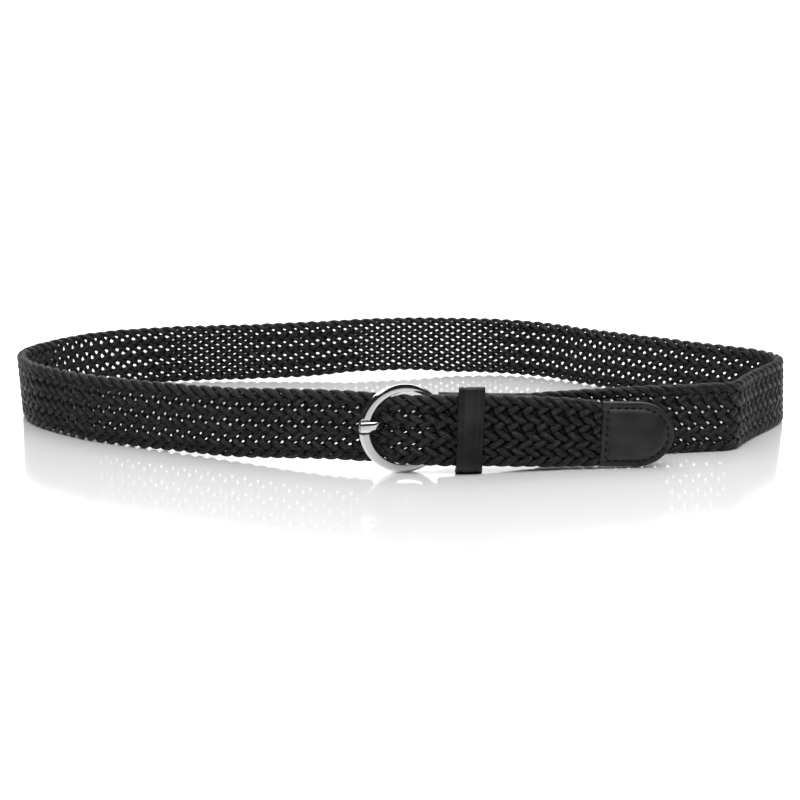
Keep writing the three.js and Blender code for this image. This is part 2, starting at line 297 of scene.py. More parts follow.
def mesh_piece(name, vertices, faces, material, slot_name):
    """A smooth mesh that rides on the belt."""
    mesh = bpy.data.meshes.new(name)
    mesh.from_pydata((np.asarray(vertices) * MM).tolist(), [], faces)
    mesh.validate()
    mesh.shade_smooth()
    mesh.materials.append(material)
    piece = bpy.data.objects.new(name, mesh)
    bpy.context.scene.collection.objects.link(piece)
    if slot_name:
        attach(piece, "root")
    return piece


def tube_faces(rings, points, closed=False, first=0):
    """The faces of a tube whose rings turn left about the way they follow each other."""
    faces = []
    for ring in range(rings if closed else rings - 1):
        here = first + ring * points
        there = first + (ring + 1) % rings * points
        for i in range(points):
            j = (i + 1) % points
            faces.append((here + i, here + j, there + j, there + i))
    if not closed:
        faces.append(tuple(first + i for i in reversed(range(points))))
        faces.append(tuple(first + (rings - 1) * points + i for i in range(points)))
    return faces


def unit(vectors):
    return vectors / np.linalg.norm(vectors, axis=-1, keepdims=True)


def smoothstep(x, start, end):
    t = np.clip((x - start) / (end - start), 0, 1)
    return t * t * (3 - 2 * t)


# The route of the strap

def curve_through(points, steps):
    """A smooth curve through points, centripetal, and its direction, steps to each stretch."""
    ends = np.vstack([2 * points[0] - points[1], points, 2 * points[-1] - points[-2]])
    knots = np.sqrt(np.linalg.norm(np.diff(ends, axis=0), axis=1))
    t = np.linspace(0, 1, steps, endpoint=False)[:, None]
    places = []
    ways = []
    for k in range(len(points) - 1):
        before, start, end, after = ends[k : k + 4]
        k0, k1, k2 = knots[k : k + 3]
        leave = ((start - before) / k0 - (end - before) / (k0 + k1) + (end - start) / k1) * k1
        reach = ((end - start) / k1 - (after - start) / (k1 + k2) + (after - end) / k2) * k1
        square = -3 * start + 3 * end - 2 * leave - reach
        cube = 2 * start - 2 * end + leave + reach
        places.append(start + t * leave + t**2 * square + t**3 * cube)
        ways.append(leave + 2 * t * square + 3 * t**2 * cube)
    places.append(points[-1:])
    ways.append(ways[-1][-1:])
    return np.vstack(places), unit(np.vstack(ways))


ROUTE_STEPS = 24
route_places, route_ways = curve_through(ROUTE[:, :2], ROUTE_STEPS)
route_rows = np.arange(len(route_places)) / ROUTE_STEPS
route_lengths = np.concatenate([
    [0], np.cumsum(np.linalg.norm(np.diff(route_places, axis=0), axis=1)),
])


def length_at(row):
    return np.interp(row, route_rows, route_lengths)


def strap_frame(length):
    """Where the strap is at a length along it: the base of its middle, and its own axes."""
    row = np.interp(length, route_lengths, route_rows)
    x, y = (np.interp(row, route_rows, route_places[:, k]) for k in (0, 1))
    way = unit(np.stack([np.interp(row, route_rows, route_ways[:, k]) for k in (0, 1)], -1))
    lift, lean, width = (np.interp(row, np.arange(len(ROUTE)), ROUTE[:, k]) for k in (2, 3, 4))
    # Past the ends of the route the strap runs on straight.
    beyond = length - np.clip(length, 0, route_lengths[-1])
    x = x + way[..., 0] * beyond
    y = y + way[..., 1] * beyond
    lean = np.radians(lean)
    zero = np.zeros_like(x)
    side = np.stack([way[..., 1], -way[..., 0], zero], -1)
    up = np.stack([zero, zero, zero + 1], -1)
    c, s = np.cos(lean)[..., None], np.sin(lean)[..., None]
    return {
        "base": np.stack([x + ORIGIN[0], y + ORIGIN[1], lift + HALF_STRAP * np.abs(np.sin(lean))], -1),
        "along": np.stack([way[..., 0], way[..., 1], zero], -1),
        "out": side * c - up * s,
        "up": side * s + up * c,
        "width": width,
    }


def on_strap(place, out, height):
    return place["base"] + place["out"] * out[..., None] + place["up"] * height[..., None]


# The buckle's own frame: x along the strap, y away from the viewer, z up from the ring's middle

def buckle_axes():
    c, s = math.cos(BUCKLE["yaw"]), math.sin(BUCKLE["yaw"])
    return np.array([[c, s, 0], [-s, c, 0], [0, 0, 1]])


BUCKLE_AXES = buckle_axes()
BUCKLE_MIDDLE = np.array([BUCKLE["x"] + ORIGIN[0], ORIGIN[1], BUCKLE["outer"]])


def from_buckle(points):
    return points @ BUCKLE_AXES + BUCKLE_MIDDLE


def to_buckle(points):
    return (points - BUCKLE_MIDDLE) @ BUCKLE_AXES.T


# The braid

MOUTH_LENGTH = length_at(MOUTH_ROW)
BRAID_END = MOUTH_LENGTH + BRAID_IN_TIP
PRONG_LENGTH = length_at(PRONG_ROW)
CYCLE = 2 * STRANDS  # crossings in one whole zigzag of a cord
PHASE = -PRONG_LENGTH / (PITCH / 2) % 2  # puts a hole of the middle rows at the prong


def slow_noise(count, spacing, size):
    """A smooth random line, with a new value each spacing samples."""
    knots = rng.normal(0, size, count // spacing + 4)
    x = np.arange(count) / spacing
    k = x.astype(int)
    t = smoothstep(x - k, 0, 1)
    return knots[k] * (1 - t) + knots[k + 1] * t


def across_strap(row, bunching):
    """How far below the strap's upper edge a cord runs at a row, on a strap of full width."""
    window = smoothstep(row, -1, 2) * smoothstep(ROWS - row, 0, 3)
    row = row + bunching * math.sqrt(2) * np.sin(np.pi * (row - 3.5) / 2) * window
    upper = row < (ROWS - 1) / 2
    from_edge = np.where(upper, row + 1, ROWS - row)
    depth = EDGE_INSET + ROW_HEIGHT * (np.sqrt(from_edge**2 + EDGE_BEND**2) - EDGE_BEND)
    return np.where(upper, depth, STRAP_WIDTH - depth)


def cord_wave(phase):
    """How far out of the strap's middle a cord runs: over two cords, then under two."""
    # Half a wave takes two crossings, and three where the cord turns at an edge.
    leave_upper = 0.5
    reach_lower = ROWS - 1.5
    leave_lower = ROWS + 1.5
    reach_upper = CYCLE - 2.5
    half_waves = (reach_lower - leave_upper) / 2
    turn = np.select(
        [phase < leave_upper, phase < reach_lower, phase < leave_lower, phase < reach_upper],
        [
            (phase - leave_upper) / 3,
            (phase - leave_upper) / 2,
            half_waves + (phase - reach_lower) / 3,
            half_waves + 1 + (phase - leave_lower) / 2,
        ],
        2 * half_waves + 1 + (phase - reach_upper) / 3,
    ) * np.pi
    return WAVE_HEIGHT * (np.cos(turn) - 0.14 * np.cos(3 * turn))


def clear_of_prong(points):
    """Parts the cords round the prong: points near its middle line move away from it."""
    local = to_buckle(points)
    room = np.array([PRONG["room"], PRONG["room"], PRONG["height"] / 2 + PRONG["room_above"]])
    path = np.array([(x, y, PRONG["rise"]) for x, y in PRONG_PATH], float)
    best = np.full(len(local), np.inf)
    push = np.zeros_like(local)
    for start, end in zip(path[:-1], path[1:]):
        span = end - start
        share = np.clip(((local - start) @ span) / (span @ span), 0, 1)
        away = (local - start - share[:, None] * span) / room
        distance = np.linalg.norm(away, axis=1) + 1e-6
        nearer = distance < best
        best = np.where(nearer, distance, best)
        grown = ((distance**4 + 1) ** 0.25 / distance)[:, None]
        push = np.where(nearer[:, None], away * (grown - 1) * room, push)
    return from_buckle(local + push)


def clear_of_ring(points):
    """Draws in the cords where the strap passes through the opening of the ring."""
    local = to_buckle(points)
    reach = BUCKLE["thickness"] / 2 + CORD_THICKNESS / 2
    close = 1 - smoothstep(np.abs(local[:, 1]), reach, reach + BUCKLE["strap_reach"])
    side = local[:, 0] - BUCKLE["shift"]
    most = BUCKLE["inner"] - BUCKLE["strap_inset"]
    limit = np.sqrt(np.maximum(most**2 - side**2, 0))
    inside = np.abs(side) < most
    over = np.maximum(np.abs(local[:, 2]) - limit, 0) * close * inside
    local[:, 2] -= np.sign(local[:, 2]) * over
    return from_buckle(local)


def cord_middle(strand, count):
    """The middle line of one cord, with its cross axis, width and thickness."""
    crossing = np.arange(count) / SECTIONS_PER_CROSSING
    phase = (crossing + 2 * strand + PHASE) % CYCLE
    row = np.where(phase <= ROWS, phase, np.where(phase <= CYCLE - 1, 2 * ROWS - phase, phase - CYCLE))
    length = crossing * PITCH / 2
    place = strap_frame(length)
    wave = cord_wave(phase)
    fullness, bunching = (np.interp(length, length_at(OPENNESS[:, 0]), OPENNESS[:, k]) for k in (1, 2))
    lift = np.abs(wave) / WAVE_HEIGHT
    width = CORD_WIDTH * fullness * (0.84 + 0.16 * lift**2)
    width = width * (1 + slow_noise(count, *CORD_NOISE["width"]))
    wave = wave + slow_noise(count, *CORD_NOISE["wave"])
    depth = across_strap(row, bunching) + slow_noise(count, *CORD_NOISE["depth"])
    # Just before the tip the braid is pressed flat.
    squeeze = smoothstep(length, MOUTH_LENGTH + PRESSED["start"], MOUTH_LENGTH + PRESSED["full"])
    flat = 1 - PRESSED["thinner"] * squeeze
    narrow = 1 - PRESSED["narrower"] * squeeze
    height = place["width"] * (0.5 + (0.5 - depth / STRAP_WIDTH) * narrow)
    points = on_strap(place, wave * flat, height)
    points = clear_of_ring(clear_of_prong(points))
    # The cord folds over at each edge of the strap, always with its outer face upwards.
    to_lower = smoothstep(phase, ROWS - FOLD_REACH, ROWS + FOLD_REACH)
    # The upper turn is at CYCLE - 1. Moved on by 5 it is at 4, clear of where the phase starts again.
    to_upper = smoothstep((phase + 5) % CYCLE, 4 - FOLD_REACH, 4 + FOLD_REACH)
    turn = np.pi * np.where((phase > ROWS / 2) & (phase < (ROWS + CYCLE) / 2), to_lower, 1 - to_upper)
    cross = np.cos(turn)[:, None] * place["out"] + np.sin(turn)[:, None] * place["up"]
    return points, cross, width, CORD_THICKNESS * flat


def sweep(points, cross, width, thickness):
    """Rings of a flat cord round its middle line. cross is the way of its thin side."""
    way = unit(np.gradient(points, axis=0))
    thin = unit(cross - np.sum(cross * way, axis=1, keepdims=True) * way)
    wide = np.cross(way, thin)
    angle = 2 * np.pi * np.arange(POINTS_ROUND) / POINTS_ROUND
    a = np.cos(angle)[None, :, None]
    b = np.sin(angle)[None, :, None]
    half_width = width[:, None, None] / 2
    half_thickness = thickness[:, None, None] / 2
    return points[:, None] + wide[:, None] * a * half_width - thin[:, None] * b * half_thickness


def cord_attribute(mesh, points, strand):
    """Gives each point its place round and along the cord, for the streaks of its fibres."""
    travel = np.concatenate([[0], np.cumsum(np.linalg.norm(np.diff(points, axis=0), axis=1))])
    angle = 2 * np.pi * np.arange(POINTS_ROUND) / POINTS_ROUND
    twist = angle[None, :] + FIBRES["twist"] * travel[:, None]
    along = FIBRES["along"] * travel[:, None] + FIBRES["between"] * strand
    along = np.repeat(along, POINTS_ROUND, axis=1)
    values = np.stack([FIBRES["round"] * np.cos(twist), FIBRES["round"] * np.sin(twist), along], -1)
    attribute = mesh.attributes.new("cord", "FLOAT_VECTOR", "POINT")
    attribute.data.foreach_set("vector", values.astype(np.float32).ravel())


def make_braid(material):
    count = int(BRAID_END / (PITCH / 2) * SECTIONS_PER_CROSSING) + 1
    for strand in range(STRANDS):
        points, cross, width, thickness = cord_middle(strand, count)
        rings = sweep(points, cross, width, thickness)
        faces = tube_faces(count, POINTS_ROUND)
        cord = mesh_piece(f"cord_{strand + 1:02d}", rings.reshape(-1, 3), faces, material, "braid")
        cord_attribute(cord.data, points, strand)
        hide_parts("strap")


# Materials

class Nodes:
    """A material and the few node kinds that it is made from."""

    def __init__(self, name):
        self.material = bpy.data.materials.new(name)
        self.material.use_nodes = True
        self.tree = self.material.node_tree
        self.shader = self.tree.nodes["Principled BSDF"]

    def add(self, kind, **settings):
        node = self.tree.nodes.new(kind)
        for key, value in settings.items():
            if hasattr(node, key):
                setattr(node, key, value)
            else:
                node.inputs[key.replace("_", " ")].default_value = value
        return node

    def link(self, output, target):
        self.tree.links.new(output, target)

    def shade(self, **values):
        for key, value in values.items():
            self.shader.inputs[key.replace("_", " ")].default_value = value

    def object_place(self):
        return self.add("ShaderNodeTexCoord").outputs["Object"]

    def noise(self, vector, scale, detail=2.0, roughness=0.5):
        node = self.add("ShaderNodeTexNoise", Scale=scale, Detail=detail, Roughness=roughness)
        self.link(vector, node.inputs["Vector"])
        return node.outputs["Fac"]

    def spread(self, value, low, high, start=0.3, end=0.7):
        """value from start to end becomes low to high."""
        node = self.add("ShaderNodeMapRange", From_Min=start, From_Max=end, To_Min=low, To_Max=high)
        self.link(value, node.inputs["Value"])
        return node.outputs["Result"]

    def combine(self, operation, first, second):
        node = self.add("ShaderNodeMath", operation=operation)
        for source, target in zip((first, second), node.inputs):
            if isinstance(source, (int, float)):
                target.default_value = source
            else:
                self.link(source, target)
        return node.outputs["Value"]

    def ramp(self, value, dark, light, start=0.3, end=0.7):
        """Colours from dark to light as value goes from start to end."""
        node = self.add("ShaderNodeValToRGB")
        node.color_ramp.elements[0].position = start
        node.color_ramp.elements[0].color = (*dark, 1)
        node.color_ramp.elements[1].position = end
        node.color_ramp.elements[1].color = (*light, 1)
        self.link(value, node.inputs["Fac"])
        return node.outputs["Color"]

    def bump(self, height, distance, strength=1.0):
        node = self.add("ShaderNodeBump", Strength=strength, Distance=distance * MM)
        self.link(height, node.inputs["Height"])
        self.link(node.outputs["Normal"], self.shader.inputs["Normal"])


def cord_material():
    """Black waxed fibres that run along each cord, with a soft satin sheen; the lightest flecks in its
    colour are painted glints.
    """
    m = Nodes("braided_cord")
    place = m.add("ShaderNodeAttribute", attribute_name="cord").outputs["Vector"]
    fibres = m.noise(place, 2.0, 3.0, 0.65)
    bundles = m.noise(place, 0.75, 1.0)
    height = m.combine("ADD", fibres, m.combine("MULTIPLY", bundles, 0.8))
    m.bump(height, 0.8)
    # Fibre streaks vary the colour; the light flecks at the top of the ramp are painted glints.
    m.link(m.ramp(fibres, (0.0015, 0.0015, 0.0017), (0.085, 0.085, 0.087), 0.51, 0.77),
           m.shader.inputs["Base Color"])
    m.link(m.spread(fibres, 0.6, 0.18), m.shader.inputs["Roughness"])
    m.shade(Specular_IOR_Level=0.32)
    return m.material


def leather_material():
    """Smooth black leather with a fine grain, lighter in random worn patches, with painted sheen streaks on
    the keeper.
    """
    m = Nodes("black_leather")
    place = m.object_place()
    pores = m.add("ShaderNodeTexVoronoi", Scale=1500.0)
    m.link(place, pores.inputs["Vector"])
    grain = m.noise(place, 900.0, 4.0, 0.6)
    rubs = m.noise(place, 90.0, 3.0)
    m.bump(m.combine("ADD", pores.outputs["Distance"], grain), 0.06, 0.6)
    # Painted sheen streaks and a darker tone, from the keeper's own points; 0 on pieces without them.
    painted_sheen_and_tone = m.add("ShaderNodeAttribute", attribute_name="painted_sheen_and_tone").outputs["Fac"]
    m.link(m.ramp(m.combine("ADD", rubs, painted_sheen_and_tone), (0.006, 0.006, 0.0062), (0.045, 0.047, 0.045), 0.1, 1.9),
           m.shader.inputs["Base Color"])
    m.link(m.spread(grain, 0.34, 0.5), m.shader.inputs["Roughness"])
    m.shade(Specular_IOR_Level=0.24)
    return m.material


def thread_material():
    """Dull black thread, with the twist of its plies."""
    m = Nodes("black_thread")
    place = m.object_place()
    twist = m.noise(place, 2500.0, 2.0)
    m.bump(twist, 0.05)
    m.link(m.ramp(twist, (0.001, 0.001, 0.001), (0.005, 0.005, 0.005)), m.shader.inputs["Base Color"])
    m.shade(Roughness=0.8, Specular_IOR_Level=0.1)
    return m.material


def metal_material():
    """Polished plating with faint handling marks."""
    m = Nodes("polished_metal")
    place = m.object_place()
    marks = m.noise(place, 700.0, 3.0, 0.6)
    cloud = m.noise(place, 60.0, 2.0)
    m.bump(marks, 0.004, 0.5)
    m.link(m.spread(m.combine("MULTIPLY", marks, cloud), 0.05, 0.13, 0.15, 0.4),
           m.shader.inputs["Roughness"])
    m.link(m.ramp(cloud, (0.66, 0.655, 0.64), (0.75, 0.75, 0.74)), m.shader.inputs["Base Color"])
    m.shade(Metallic=1.0)
    return m.material


def floor_material():
    """White gloss board that mirrors a little."""
    m = Nodes("white_board")
    m.shade(Base_Color=(0.9, 0.9, 0.9, 1), Roughness=0.14, Coat_Weight=0.7, Coat_Roughness=0.05)
    return m.material


# Buckle

RING_STEPS = 420
RIM = {
    "slope": 1.4,  # width of the outer slope, level with the ring's middle
    "slope_gain": 0.6,  # and what that gains up to the top
    "fall": 0.3,  # of the slope, as a share of its width
    "lip": 0.1,  # width of the outermost part, and what that gains beside the top
    "lip_gain": 0.7,
    "lip_fall": 0.13,
    "lip_fall_gain": 0.91,
    "narrower_behind": 0.5,  # at the top
    "inner_bevel": (0.5, 0.6),  # across the front, and through
    "radius": 0.08,
}


def rounded_outline(corners, radius, steps):
    """A closed outline that turns left through corners, each rounded off."""
    corners = np.array(corners, float)
    outline = []
    for k, corner in enumerate(corners):
        back = unit(corners[k - 1] - corner)
        ahead = unit(corners[(k + 1) % len(corners)] - corner)
        start = corner + back * radius
        end = corner + ahead * radius
        for t in np.linspace(0, 1, steps):
            outline.append((1 - t) ** 2 * start + 2 * t * (1 - t) * corner + t**2 * end)
    return np.array(outline)


def ring_rings():
    """The frame of the buckle: a flat ring, wide at the left, with an outer slope that is
    widest at the top."""
    outer, inner, shift, bar_x = (BUCKLE[k] for k in ("outer", "inner", "shift", "bar_x"))
    half = BUCKLE["thickness"] / 2
    turn = np.linspace(0, 1, RING_STEPS + 1)
    outer_start = math.acos(bar_x / outer)
    inner_start = math.acos((bar_x - shift) / inner)
    outer_angle = outer_start + turn * 2 * (np.pi - outer_start)
    inner_angle = inner_start + turn * 2 * (np.pi - inner_start)
    outer_line = np.stack([outer * np.cos(outer_angle), 0 * turn, outer * np.sin(outer_angle)], -1)
    inner_line = np.stack(
        [shift + inner * np.cos(inner_angle), 0 * turn, inner * np.sin(inner_angle)], -1)
    bevel_across, bevel_through = RIM["inner_bevel"]
    rings = []
    for rim, hole in zip(outer_line, inner_line):
        across = rim - hole
        band = np.linalg.norm(across)
        across = across / band
        slope = RIM["slope"] + RIM["slope_gain"] * rim[2] / outer
        # The slope fades out beside the prong, and towards the right.
        tilt = max(smoothstep(rim[2], 1.5, 7), smoothstep(-rim[2], 0, 6))
        drop = RIM["fall"] * slope * tilt * (1 - 0.8 * smoothstep(rim[0], 5, 9.5))
        hidden = RIM["narrower_behind"] * smoothstep(rim[2] / outer, 0.7, 0.95)
        # Beside the top, the outermost part of the rim is a lip: steep, and almost flat at the left.
        beside_top = smoothstep(rim[2] / outer, 0.1, 0.5) * smoothstep(abs(rim[0]) / outer, 0.15, 0.55)
        steep = 1 - smoothstep(-rim[0] / outer, 0.5, 0.7)
        lip = RIM["lip"] + RIM["lip_gain"] * beside_top
        lip_drop = RIM["lip_fall"] + RIM["lip_fall_gain"] * beside_top * steep
        section = rounded_outline([
            (0, half), (0, bevel_through - half), (bevel_across, -half), (band - slope, -half),
            (band - lip, drop - half), (band, drop + lip_drop - half), (band - hidden, half),
        ], RIM["radius"], 4)
        if rim[0] < 0:
            past_prong = abs(rim[2] - PRONG["rise"]) - PRONG["height"] / 2
            seat = np.interp(past_prong, [0, BUCKLE["seat_slope"]], [BUCKLE["seat_depth"], 0])
            section[:, 1] = np.maximum(section[:, 1], seat - half)
        rings.append(hole + section[:, :1] * across + section[:, 1:] * np.array([0, 1, 0]))
    return np.array(rings)


def turned_bar():
    """The bar of the buckle: a round rod, upright, with softened ends."""
    reach = math.sqrt(BUCKLE["outer"] ** 2 - BUCKLE["bar_x"] ** 2) - 0.5
    radius = BUCKLE["bar_radius"]
    heights = [-reach, -reach, 0.25 - reach, reach - 0.25, reach, reach]
    radii = [radius - 0.5, radius - 0.2, radius, radius, radius - 0.2, radius - 0.5]
    angle = 2 * np.pi * np.arange(32) / 32
    return np.array([
        np.stack([BUCKLE["bar_x"] + r * np.cos(angle), r * np.sin(angle), 0 * angle + h], -1)
        for h, r in zip(heights, radii)
    ])


def make_ring(material):
    ring = ring_rings()
    bar = turned_bar()
    vertices = np.vstack([from_buckle(ring.reshape(-1, 3)), from_buckle(bar.reshape(-1, 3))])
    faces = tube_faces(*ring.shape[:2])
    faces += tube_faces(*bar.shape[:2], first=ring.shape[0] * ring.shape[1])
    piece = mesh_piece("buckle_ring", vertices, faces, material, "metal")
    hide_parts("buckle_frame")


def bent_line(corners, radius, steps):
    """A line through corners, with each inner corner rounded."""
    corners = np.array(corners, float)
    line = [corners[0]]
    for before, corner, after in zip(corners[:-2], corners[1:-1], corners[2:]):
        start = corner + unit(before - corner) * radius
        end = corner + unit(after - corner) * radius
        for t in np.linspace(0, 1, steps):
            line.append((1 - t) ** 2 * start + 2 * t * (1 - t) * corner + t**2 * end)
    line.append(corners[-1])
    return np.array(line)


def make_prong(material):
    """A tongue of metal with sloping upper and lower edges, and an eye round the bar."""
    bore, wall = PRONG["bore"], PRONG["eye_wall"]
    line = bent_line(PRONG_PATH, 2.2, 7)
    line[0] += unit(line[1] - line[0]) * (bore + wall / 2)
    # The end draws in a little before it is cut off round.
    end_way = unit(line[-1] - line[-2])
    tail = [line[-1] - end_way * back for back in (1.2, 0.6, 0.25, 0.07, 0)]
    line = np.vstack([line[:-1], tail])
    shrink = np.ones(len(line))
    shrink[-4:] = (0.97, 0.9, 0.8, 0.66)
    half_t, half_h = PRONG["thickness"] / 2, PRONG["height"] / 2
    # Rounded behind, with two slopes above the front face and one below it.
    section = rounded_outline([
        (half_t, 0.5 - half_h), (half_t, half_h - 0.5), (half_t - 0.4, half_h),
        (0.65 - half_t, half_h), (0.27 - half_t, half_h - 0.35), (-half_t, half_h - 1.25),
        (-half_t, 1.0 - half_h), (0.7 - half_t, -half_h), (half_t - 0.4, -half_h),
    ], 0.1, 4)
    way = unit(np.gradient(line, axis=0))
    back = np.stack([-way[:, 1], way[:, 0]], -1)
    back = back * np.sign(back[:, 1:])
    # The bend runs slantwise, so that the upper edge stays in front for longer.
    slant = PRONG["slant"] * smoothstep(line[:, 0], -17, -13.6) * (1 - smoothstep(line[:, 0], 0, 8))
    rings = []
    for point, normal, size, lean in zip(line, back, shrink, slant):
        xy = point + section[:, :1] * normal * size + section[:, 1:] * (lean, 0)
        rings.append(np.column_stack([xy, PRONG["rise"] + section[:, 1] * size]))
    arm = np.array(rings)
    eye_section = rounded_outline([
        (bore, -half_h), (bore + wall, -half_h), (bore + wall, half_h), (bore, half_h),
    ], 0.3, 4)
    angle = 2 * np.pi * np.arange(40) / 40
    eye = np.array([
        np.column_stack([
            BUCKLE["bar_x"] + eye_section[:, 0] * math.cos(a),
            eye_section[:, 0] * math.sin(a),
            PRONG["rise"] + eye_section[:, 1],
        ])
        for a in angle
    ])
    vertices = np.vstack([from_buckle(arm.reshape(-1, 3)), from_buckle(eye.reshape(-1, 3))])
    faces = tube_faces(*arm.shape[:2])
    faces += tube_faces(*eye.shape[:2], closed=True, first=arm.shape[0] * arm.shape[1])
    piece = mesh_piece("buckle_prong", vertices, faces, material, "metal")
    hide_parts("prong")


# Leather

def thick_sheet(front, back, keep):
    """A closed sheet between two grids of points, with walls round the cells that are kept."""
    rows, columns = front.shape[:2]
    vertices = np.vstack([front.reshape(-1, 3), back.reshape(-1, 3)])
    far = rows * columns
    faces = []

    def kept(i, j):
        return 0 <= i < rows - 1 and 0 <= j < columns - 1 and keep[i, j]

    for i in range(rows - 1):
        for j in range(columns - 1):
            if not keep[i, j]:
                continue
            corners = [(i, j), (i + 1, j), (i + 1, j + 1), (i, j + 1)]
            a = [r * columns + c for r, c in corners]
            faces.append(tuple(a))
            faces.append(tuple(far + v for v in reversed(a)))
            beside = [(i, j - 1), (i + 1, j), (i, j + 1), (i - 1, j)]
            for k, cell in enumerate(beside):
                if not kept(*cell):
                    p, q = a[k], a[(k + 1) % 4]
                    faces.append((q, p, far + p, far + q))
    return vertices, faces


def round_edges(piece, width, angle):
    """Rounds the edges where a piece's faces turn by more than an angle, in degrees."""
    bevel = piece.modifiers.new("round_edges", "BEVEL")
    bevel.width = width * MM
    bevel.segments = 3
    bevel.limit_method = "ANGLE"
    bevel.angle_limit = math.radians(angle)
    bevel.use_clamp_overlap = True


def make_tab(material):
    """Leather folded round the bar, one ply on each side of the strap's sewn end."""
    offset = HALF_STRAP + TAB["gap"] + LEATHER / 2
    shoulder = TAB["shoulder_row"]
    steps = np.arange(0.125, TAB_END_ROW, 0.125)
    rows = np.concatenate([[0, shoulder - 0.002, shoulder], steps, [TAB_END_ROW]])
    place = strap_frame(length_at(rows))
    bar = from_buckle(np.array([[BUCKLE["bar_x"], 0, 0]]))[0]
    tall = np.where(rows < shoulder, TAB["fold_width"], TAB["width"])
    stations = []
    for side, order in ((-1, slice(None, None, -1)), (1, slice(None))):
        middle = place["base"][:, :2] + side * offset * place["out"][:, :2]
        normal = side * place["out"][:, :2]
        low = place["base"][:, 2] + (place["width"] - tall) / 2
        ply = np.column_stack([middle, normal, low, tall])[order]
        stations.append(ply)
    first = strap_frame(length_at(0.0))
    along, out = first["along"][:2], first["out"][:2]
    fold = []
    for turn in np.linspace(0, np.pi, 19)[1:-1]:
        normal = -out * math.cos(turn) - along * math.sin(turn)
        middle = bar[:2] + normal * TAB["fold_radius"]
        low = first["base"][2] + (first["width"] - TAB["fold_width"]) / 2
        fold.append([*middle, *normal, low, TAB["fold_width"]])
    line = np.vstack([stations[0], fold, stations[1]])
    slot_low = BUCKLE["outer"] + PRONG["rise"] - TAB["slot_height"] / 2 - line[len(stations[0]), 4]
    slot = np.array([slot_low, slot_low + TAB["slot_height"]]) / TAB["fold_width"]
    levels = np.unique(np.concatenate([np.linspace(0, 1, 13), slot]).round(5))
    grid = []
    for face in (1, -1):
        xy = line[:, :2] + face * line[:, 2:4] * LEATHER / 2
        z = line[:, 4:5] + line[:, 5:6] * levels
        grid.append(np.concatenate([np.repeat(xy[:, None], len(levels), 1), z[..., None]], -1))
    keep = np.ones((len(line) - 1, len(levels) - 1), bool)
    in_slot = (levels[:-1] >= slot[0] - 1e-4) & (levels[1:] <= slot[1] + 1e-4)
    first_fold = len(stations[0]) - 1
    keep[first_fold : first_fold + len(fold) + 1, in_slot] = False
    vertices, faces = thick_sheet(grid[0], grid[1], keep)
    piece = mesh_piece("tab_leather", vertices, faces, material, "leather")
    round_edges(piece, 0.3, 50)
    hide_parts("buckle_tab")


def keeper_outline():
    """The keeper seen along the strap, front to the left, turning left."""
    half_depth, half_height = KEEPER["depth"] / 2, KEEPER["height"] / 2
    corners = [
        (1, 1, KEEPER["corner"], 0),
        (-1, 1, KEEPER["corner"], 1),
        (-1, -1, KEEPER["toe"], 2),
        (1, -1, KEEPER["corner"], 3),
    ]
    points = []
    for side, end, radius, quarter in corners:
        for t in np.linspace(quarter, quarter + 1, 13) * np.pi / 2:
            x = side * (half_depth - radius) + radius * math.cos(t)
            z = end * (half_height - radius) + radius * math.sin(t)
            fall = KEEPER["top_fall"] * (x + half_depth) if end > 0 else 0
            points.append((x, z - fall))
    return np.array(points)


def between(outline, longest):
    """The outline with its long straight stretches divided."""
    points = []
    for here, there in zip(outline, np.roll(outline, -1, axis=0)):
        parts = max(1, math.ceil(np.linalg.norm(there - here) / longest))
        for t in np.arange(parts) / parts:
            points.append(here + (there - here) * t)
    return np.array(points)


